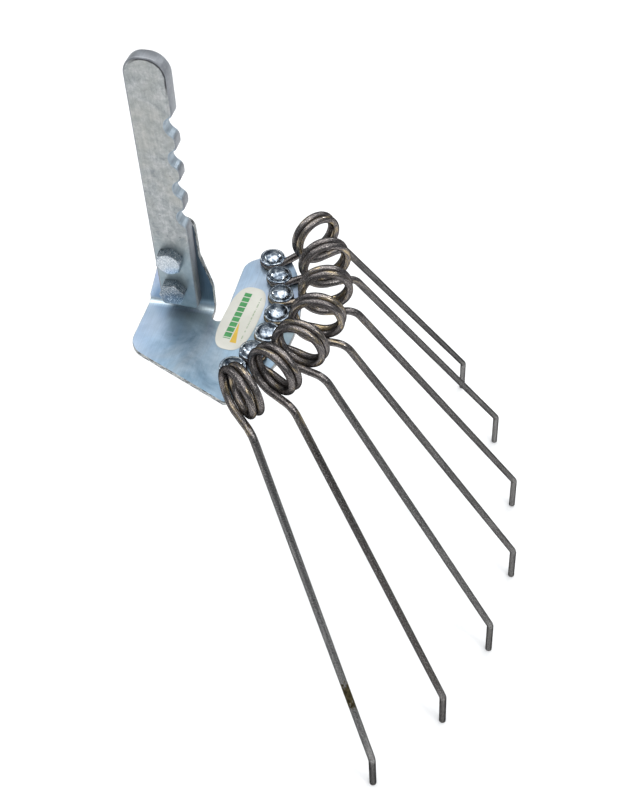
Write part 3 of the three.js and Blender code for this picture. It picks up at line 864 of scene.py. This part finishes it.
def plate_outline():
    """The sheet before it is bent, anticlockwise: x runs across the bend from its start and y is the
    fan frame's y. Gives the outline, and the seams of the bend as pairs of outline points."""
    steps = 16
    lines = [SUPPORT] + [-BEND_LENGTH * i / steps for i in range(steps + 1)] + [-BEND_LENGTH - SUPPORT]

    def on_arc(x):
        return math.sqrt(FRONT_ARC["radius"] ** 2 - (x - FRONT_ARC["x"]) ** 2)

    right = Vector((RIGHT_CORNER["x"] - BEND_START, on_arc(RIGHT_CORNER["x"])))
    from_x, to_x = RIGHT_CORNER["x"] - RIGHT_CORNER["to_arc"], LEFT_CORNER["x"] + LEFT_CORNER["to_arc"]
    outline = [Vector((lines[0], PLATE["rear"]))]
    round_corner(outline, (REAR_CORNER["x"] - BEND_START, PLATE["rear"]), right, REAR_CORNER["radius"])
    round_corner(outline, right, (from_x - BEND_START, on_arc(from_x)), RIGHT_CORNER["radius"])
    count = 48
    for i in range(count + 1):
        x = from_x + (to_x - from_x) * i / count
        outline.append(Vector((x - BEND_START, on_arc(x))))
    arm = Vector((ARM_CORNER["x"] - BEND_START, ARM_Y))
    round_corner(outline, (LEFT_CORNER["x"] - BEND_START, LEFT_CORNER["y"]), arm, LEFT_CORNER["radius"])
    round_corner(outline, arm, (0, ARM_Y), ARM_CORNER["radius"])
    slot = (ARM_Y - RELIEF["y"]) / 2
    outline += arc((RELIEF["depth"] - slot - BEND_START, ARM_Y - slot), slot, 90, -90, 15)
    front = len(outline)
    outline += [Vector((x, RELIEF["y"])) for x in lines]
    corners = [Vector((up_tab(z), y)) for y, z in TAB["corners"]] + [Vector((-BEND_LENGTH, PLATE["rear"]))]
    for corner, after in zip(corners, corners[1:]):
        round_corner(outline, corner, after, TAB["radius"])
    rear = len(outline)
    outline += [Vector((x, PLATE["rear"])) for x in reversed(lines[1:])]
    seams = [(front, 0)] + [(front + i, rear + len(lines) - 1 - i) for i in range(1, len(lines))]
    return outline, seams


def fold(point):
    """A point of the flat sheet, in place on the bent plate."""
    x, y, z = point
    reach = PLATE["bend_radius"] - z
    if x >= 0 or y > RELIEF["y"] + PLATE["edge"]:
        return Vector((BEND_START + x, y, z))
    if x >= -BEND_LENGTH:
        turn = math.radians(90) * -x / BEND_LENGTH
        return Vector((BEND_START - reach * math.sin(turn), y, PLATE["bend_radius"] - reach * math.cos(turn)))
    return Vector((BEND_START - reach, y, PLATE["bend_radius"] - x - BEND_LENGTH))


def stations():
    """Where each tine is bolted: its number, x and y on the plate, and the way it points in radians."""
    count = len(frame["joints"])
    for i in range(count):
        steps = (count + 1) / 2 - (i + 1)
        turn = math.radians(steps * BOLT_STEP)
        yield i + 1, -BOLT_ARC * math.sin(turn), BOLT_ARC * math.cos(turn), math.radians(steps * FAN_STEP)


def hole(x, y, bolt):
    """The clockwise outline of a bolt's clearance hole."""
    return arc((x, y), bolt["radius"] + HOLE_PLAY, 360, HOLE_STEP, HOLE_STEP)


def make_plate():
    outline, seams = plate_outline()
    holes = [hole(x - BEND_START, y, CUP_BOLT) for _, x, y, _ in stations()]
    holes += [hole(up_tab(z), y, HEX_BOLT) for y, z, _ in HEX_PLACES.values()]
    shape = slab(outline, holes, -PLATE["thickness"], 0, PLATE["edge"], seams)
    shape.points = [fold(p) for p in shape.points]
    finish_piece("plate", shape, FAN_FRAME, [ZINC_SHEET, ZINC_EDGE], ["base_plate"])


def make_bar():
    rear, front = BAR["y"]
    lip, radius = NOTCH["lip"], NOTCH["radius"]
    run = NOTCH["setback"] + lip
    rise = math.sqrt((radius + lip) ** 2 - run ** 2)
    meet = math.degrees(math.atan2(rise, run))
    foot, crown = BAR["foot_radius"], BAR["top_radius"]
    outline = arc((front - foot, BAR["bottom"] + foot), foot, -90, 0, 15)
    for z in NOTCH["heights"]:
        outline += arc((front - lip, z - rise), lip, 0, meet)
        outline += arc((front + NOTCH["setback"], z), radius, meet - 180, -180 - meet, 6)[1:-1]
        outline += arc((front - lip, z + rise), lip, -meet, 0)
    outline += arc((front - crown, BAR["top"] - crown), crown, 0, 90)
    outline += arc((rear + crown, BAR["top"] - crown), crown, 90, 180)
    outline += arc((rear + foot, BAR["bottom"] + foot), foot, 180, 270, 15)
    holes = [hole(y, z, HEX_BOLT) for y, z, _ in HEX_PLACES.values()]
    shape = slab(outline, holes, 0, BAR["thickness"], BAR["edge"])
    finish_piece("bar", shape, FAN_FRAME @ SIDEWAYS, [BAR_FACE, BAR_EDGE], ["shank_bar"])


def make_label():
    """The sticker, a blunt oval."""
    outline = []
    steps, power = 72, 2 / LABEL["blunt"]
    for i in range(steps):
        turn = 2 * math.pi * i / steps
        c, s = math.cos(turn), math.sin(turn)
        outline.append(Vector((
            LABEL["length"] / 2 * math.copysign(abs(c) ** power, c),
            LABEL["width"] / 2 * math.copysign(abs(s) ** power, s),
        )))
    shape = slab(outline, [], CONTACT, CONTACT + LABEL["thickness"], LABEL["edge"])
    place = FAN_FRAME @ Matrix.Translation((LABEL["x"], LABEL["y"], 0))
    place = place @ Matrix.Rotation(math.radians(LABEL["tilt"]), 4, "Z")
    finish_piece("sticker", shape, place, [LABEL_FILM, LABEL_FILM], ["label"])


def thread_rows(radius, pitch, low, high):
    """Rows of a thread between two heights, with its tip at the low end."""
    count = round(THREAD_ROWS * (high - low) / pitch)
    heights = [low + (high - low) * i / count for i in range(count + 1)]
    return [(lambda theta, z=z: (thread_radius(theta, z - low, radius, pitch), z)) for z in heights]


def hex_rows(across, low, high, both_ends=False):
    """Rows of a hexagonal prism whose corners are cut by a 30-degree cone at its top or at both ends."""
    flat = across / 2 * HEX_CUT

    def corner(z, sign):
        def at(theta):
            r = hex_radius(theta, across)
            return r, z + sign * (r - flat) * math.tan(math.radians(30))
        return at

    bottom = [(flat, low), corner(low, 1)] if both_ends else [lambda t: (hex_radius(t, across), low)]
    return [*bottom, corner(high, -1), (flat, high)]


def make_bar_bolts():
    """The two hex bolts through bar and tab, with their washers and locknuts, along +X."""
    radius = HEX_BOLT["radius"]
    seat = BAR["thickness"] + CONTACT
    tip = BAR["thickness"] + CAD_GAP - HEX_BOLT["length"]
    top_face = BAR["thickness"] + CAD_GAP + HEX_BOLT["head"]
    thread_end = tip + HEX_BOLT["thread"]
    collar_low, collar_high, collar_height = HEX_BOLT["collar"]
    bolt = [(0, tip)] + thread_rows(radius, HEX_BOLT["pitch"], tip, thread_end) + [
        (radius, thread_end + HEX_BOLT["runout"]), (radius, seat),
        (collar_low, seat), (collar_high, seat + collar_height),
        *hex_rows(HEX_BOLT["across"], seat + collar_height, top_face), (0, top_face),
    ]
    back = TAB["face"] - PLATE["thickness"] - CONTACT
    for place, (y, z, spin) in HEX_PLACES.items():
        joint = FAN_FRAME @ Matrix.Translation((0, y, z)) @ SIDEWAYS
        joint = joint @ Matrix.Rotation(math.radians(spin), 4, "Z")
        made = turned(bolt, HEX_SEGMENTS)
        for index, face in enumerate(made.faces):
            made.kinds[index] = 0 if all(made.points[i].z > top_face - CONTACT for i in face) else 1
        finish_piece(f"hex_bolt_{place}", made, joint, [HEX_ZINC[place], HEX_ZINC["side"]],
                     [f"shank_bolt_{place}"], angle=SHARP_TURN)
        make_washer_and_nut(f"hex_{{}}_{place}", f"shank_{{}}_{place}", HEX_BOLT, back, joint)


def make_washer_and_nut(name, node, bolt, high, matrix):
    """A washer under that height and a locknut under it. Name and node have a gap for what each one is."""
    outer, thickness = bolt["washer"]
    low = high - thickness
    finish_piece(name.format("washer"), washer(outer, bolt["radius"] + WASHER_PLAY, low, high), matrix,
                 [HARDWARE], [node.format("washer")], angle=SHARP_TURN)
    top = low - CONTACT
    nut = locknut(bolt["across"], bolt["radius"], top - bolt["nut"], top, bolt["nut_body"])
    finish_piece(name.format("nut"), nut, matrix, [HARDWARE, NYLON], [node.format("nut")],
                 angle=SHARP_TURN)


def washer(outer, inner, low, high):
    """A stamped washer: rounded over on one side."""
    edge, burr = 0.35, 0.1
    return turned([
        (inner + edge / 2, low), (outer - edge, low), (outer - edge * 0.3, low + edge * 0.3),
        (outer, low + edge), (outer, high - burr), (outer - burr, high), (inner, high), (inner, low + edge / 2),
    ], ROUND_SEGMENTS, closed=True)


def locknut(across, bore, low, high, body):
    """A nut with a nylon ring crimped into its far end, which is the low one."""
    collar = across * NUT_COLLAR
    nylon_radius, crest, chamfer, slack = collar - 1.5, bore - 0.15, 0.9, 0.05
    rows = [
        (crest, low + chamfer), (nylon_radius, low + 0.5), (nylon_radius, low + 0.15),
        (collar - 1.2, low), (collar - 0.5, low), (collar - 0.1, low + 0.35),
        (collar, low + chamfer), (collar, high - body),
    ]
    rows += hex_rows(across, high - body, high, both_ends=True)
    rows += [(bore + 0.8, high), (crest, high - chamfer)]
    nut = turned(rows, HEX_SEGMENTS, closed=True)
    for index, face in enumerate(nut.faces):
        heights = [nut.points[i].z for i in face]
        spread = [math.hypot(nut.points[i].x, nut.points[i].y) for i in face]
        if max(heights) < low + chamfer + slack and max(spread) < nylon_radius + slack:
            nut.kinds[index] = 1
    return nut


def make_tine_fasteners(number, place):
    """The cup-head bolt through a tine's eye, and its washer and locknut under the plate."""
    seat = WIRE_HEIGHT + WIRE_RADIUS + CONTACT
    rim_top = RIM_BOTTOM + CUP_BOLT["rim_height"]
    tip = RIM_BOTTOM - CUP_BOLT["length"]
    thread_end = tip + CUP_BOLT["thread"]
    rim, radius = CUP_BOLT["rim"], CUP_BOLT["radius"]
    neck_radius, neck_length = CUP_BOLT["neck"]
    neck_end = RIM_BOTTOM - neck_length
    base, dome, steps = rim - CUP_BOLT["ledge"], CUP_BOLT["dome"], 12
    turns = [math.radians(90 * i / steps) for i in range(steps)]
    rows = [(0, tip)] + thread_rows(radius, CUP_BOLT["pitch"], tip, thread_end) + [
        (radius, thread_end + CUP_BOLT["runout"]), (radius, neck_end), (neck_radius, neck_end + 0.3),
        (neck_radius, seat), (rim - 0.3, seat), (rim, seat + 0.3), (rim, rim_top - 0.45),
        (rim - 0.15, rim_top - 0.12), (rim - 0.45, rim_top),
        (base + 0.35, rim_top), (base + 0.1, rim_top - 0.12),
        *((base * math.cos(t) ** CUP_BOLT["fullness"], rim_top + dome * math.sin(t)) for t in turns),
        (0, rim_top + dome),
    ]
    finish_piece(f"cup_bolt_{number}", turned(rows, ROUND_SEGMENTS), place, [HARDWARE],
                 [f"tine_{number}_bolt"], angle=SHARP_TURN_CUP)
    under = -PLATE["thickness"] - CONTACT
    make_washer_and_nut(f"cup_{{}}_{number}", f"tine_{number}_{{}}", CUP_BOLT, under, place)


def bend(x, y, z, pitch_in, pitch_out, radius):
    """Points round a bend at (y, z) of a wire that runs outward and down in the plane of that x."""
    half = math.radians(pitch_out - pitch_in) / 2
    a = math.radians(pitch_in)
    start_y = y - radius * math.tan(half) * math.cos(a)
    start_z = z + radius * math.tan(half) * math.sin(a)
    centre_y, centre_z = start_y - radius * math.sin(a), start_z - radius * math.cos(a)
    count = math.ceil((pitch_out - pitch_in) / 6)
    turns = [a + 2 * half * i / count for i in range(count + 1)]
    return [Vector((x, centre_y + radius * math.sin(t), centre_z + radius * math.cos(t))) for t in turns]


def straight(start, end, step):
    """Points between two ends, both left out."""
    count = max(1, round((end - start).length / step))
    return [start.lerp(end, i / count) for i in range(1, count)]


def tine_path():
    """Centreline of a tine's wire: eye, kink, coil, leg and tip. x is sideways, y outward, z up."""
    fine, coarse = 4, 8  # distances between the points of straight stretches
    slope = COIL["pitch"] / (2 * math.pi * COIL["radius"])
    kink = Vector((COIL["offset"] - (COIL["reach"] - EYE["kink"]) * slope, EYE["kink"], WIRE_HEIGHT))
    lean = math.asin(EYE["radius"] / math.hypot(kink.x, kink.y)) - math.atan2(kink.x, kink.y)
    path = [
        Vector((p.x, p.y, WIRE_HEIGHT))
        for p in arc((0, 0), EYE["radius"], EYE["start"], 360 + math.degrees(lean), 6)
    ]
    coil_start = Vector((COIL["offset"], COIL["reach"], WIRE_HEIGHT))
    near = kink + (path[-1] - kink).normalized() * EYE["kink_reach"]
    far = kink + (coil_start - kink).normalized() * EYE["kink_reach"]
    path += straight(path[-1], near, fine)
    steps = 6
    for i in range(steps + 1):
        t = i / steps
        path.append(near * (1 - t) ** 2 + kink * 2 * t * (1 - t) + far * t * t)
    steps = COIL_STEPS * COIL["turns"]
    for i in range(steps + 1):
        turn = 2 * math.pi * COIL["turns"] * i / steps
        path.append(Vector((
            COIL["offset"] + COIL["pitch"] * turn / (2 * math.pi),
            COIL["reach"] + COIL["radius"] * math.sin(turn),
            WIRE_HEIGHT + COIL["radius"] * (1 - math.cos(turn)),
        )))
    x = path[-1].x
    pitch, tip = math.radians(LEG["pitch"]), math.radians(TIP["pitch"])
    bend_y = COIL["reach"] + LEG["run"]
    knee = Vector((x, bend_y + LEG["length"] * math.cos(pitch), WIRE_HEIGHT - LEG["length"] * math.sin(pitch)))
    shoulder = bend(x, bend_y, WIRE_HEIGHT, 0, LEG["pitch"], LEG["bend"])
    ankle = bend(x, knee.y, knee.z, LEG["pitch"], TIP["pitch"], TIP["bend"])
    end = knee + Vector((0, TIP["length"] * math.cos(tip), -TIP["length"] * math.sin(tip)))
    path += straight(path[-1], shoulder[0], fine) + shoulder
    path += straight(shoulder[-1], ankle[0], coarse) + ankle
    path += straight(ankle[-1], end, coarse) + [end]
    return path


def make_tines():
    path = tine_path()
    for number, x, y, heading in stations():
        place = FAN_FRAME @ Matrix.Translation((x, y, 0)) @ Matrix.Rotation(heading, 4, "Z")
        make_tine_fasteners(number, place)
        materials = [SPRING_STEEL[number], WIRE_END]
        tine = finish_piece(f"tine_{number}", tube(path, WIRE_RADIUS), place, materials,
                            [f"tine_{number}_coil", f"tine_{number}_leg"], body=None)
        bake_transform(tine)


# ---- making ----

ZINC_SHEET, ZINC_EDGE = zinc_sheet(), zinc_edge()
BAR_FACE, BAR_EDGE = bar_face(), bar_edge()
HARDWARE, NYLON = hardware(), nylon()
HEX_ZINC = {name: hex_zinc(name, shade) for name, shade in HEX_SHADES.items()}
LABEL_FILM, WIRE_END = label_film(), wire_end()
SPRING_STEEL = {number: spring_steel(number) for number, *_ in stations()}

add_camera()
make_world()
for light, settings in LIGHTS.items():
    add_light(light, *settings)
add_floor()
make_plate()
make_bar()
make_label()
make_bar_bolts()
make_tines()
bpy.context.scene.view_settings.view_transform = "Standard"
